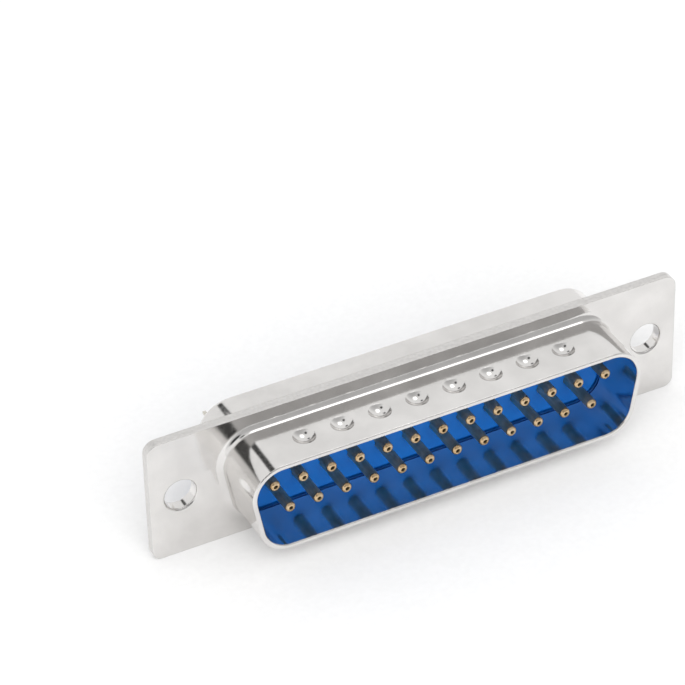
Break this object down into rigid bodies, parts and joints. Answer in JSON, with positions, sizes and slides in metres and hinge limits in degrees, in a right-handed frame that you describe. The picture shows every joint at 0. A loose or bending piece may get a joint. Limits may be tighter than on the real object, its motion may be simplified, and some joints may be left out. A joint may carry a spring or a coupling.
{
  "type": "d-sub connector",
  "caption": "Male D-subminiature connector with drawn tin-plated shells, a blue insulator, gold pins and solder cups.",
  "frame": {"origin": "centre of the flange's front face, midway between the mounting holes", "axes": "-Y is the mating direction, X runs along the connector, +Z is the wide side of the D"},
  "size_m": [0.053, 0.0142, 0.0126],
  "materials": {
    "shell_tin": "tin-plated drawn steel, bright with soft reflections",
    "insulator_blue": "glass-filled polyester, satin",
    "contact_gold": "gold-flashed pins with tin-plated cups"
  },
  "bodies": {
    "root": {"front_shell": "shell_tin", "rear_shell": "shell_tin", "front_insulator": "insulator_blue", "rear_insulator": "insulator_blue", "contact_01": "contact_gold", "contact_02": "contact_gold", "contact_03": "contact_gold", "contact_04": "contact_gold", "contact_05": "contact_gold", "contact_06": "contact_gold", "contact_07": "contact_gold", "contact_08": "contact_gold", "contact_09": "contact_gold", "contact_10": "contact_gold", "contact_11": "contact_gold", "contact_12": "contact_gold", "contact_13": "contact_gold", "contact_14": "contact_gold", "contact_15": "contact_gold", "contact_16": "contact_gold", "contact_17": "contact_gold", "contact_18": "contact_gold", "contact_19": "contact_gold", "contact_20": "contact_gold", "contact_21": "contact_gold", "contact_22": "contact_gold", "contact_23": "contact_gold", "contact_24": "contact_gold", "contact_25": "contact_gold"}
  },
  "joints": []
}
